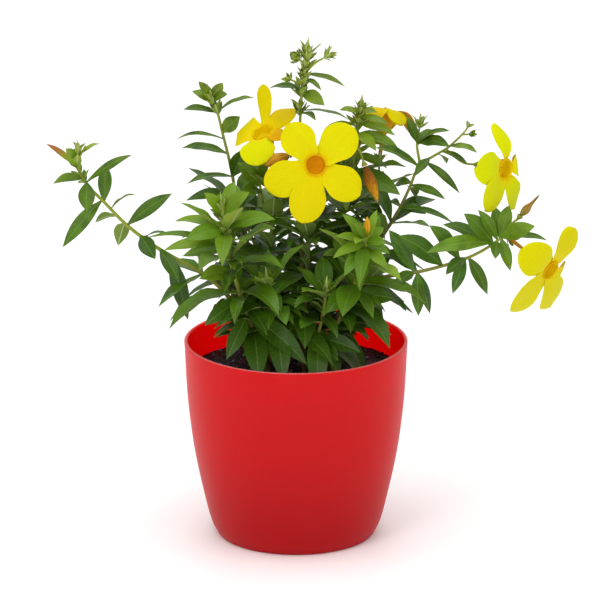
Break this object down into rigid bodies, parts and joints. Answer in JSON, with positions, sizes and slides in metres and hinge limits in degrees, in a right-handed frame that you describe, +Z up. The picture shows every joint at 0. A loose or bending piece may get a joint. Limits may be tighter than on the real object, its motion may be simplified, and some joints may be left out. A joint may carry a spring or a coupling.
{
  "type": "potted allamanda",
  "caption": "Flowering allamanda in a plain round pot of soil: leafy stems that rise from the middle and arch past the rim, with open funnel flowers and closed buds.",
  "frame": {"origin": "centre of the pot's flat foot, on the surface that it stands on", "axes": "+Z up, -Y towards the front of the plant, where the largest flower looks, +X to its right"},
  "size_m": [0.3764, 0.1868, 0.3643],
  "materials": {
    "pot": "satin moulded red",
    "soil": "damp dark potting soil with small stones",
    "petal": "soft satin yellow with an amber throat",
    "bud_amber": "soft satin amber",
    "bud_bronze": "soft satin bronze",
    "foliage": "glossy dark green leaf with a pale rib",
    "foliage_young": "satin young green leaf with a pale rib"
  },
  "bodies": {
    "root": {"pot": "pot", "soil": "soil", "flower_front": "petal", "flower_left": "petal", "flower_rear": "petal", "flower_high": "petal", "flower_low": "petal", "bud_amber_left": "bud_amber", "bud_amber_right": "bud_amber", "bud_wilted": "bud_amber", "bud_bronze": "bud_bronze", "stem_left_arch": "foliage", "stem_left_rear": "foliage", "stem_left_near": "foliage_young", "stem_tall": "foliage", "stem_front": "foliage", "stem_middle": "foliage", "stem_right_near": "foliage_young", "stem_right_rear": "foliage", "stem_right_high": "foliage", "stem_right_low": "foliage", "stem_back_left": "foliage", "stem_back_middle": "foliage", "stem_back_right": "foliage", "stem_front_left": "foliage", "stem_front_right": "foliage"}
  },
  "joints": []
}
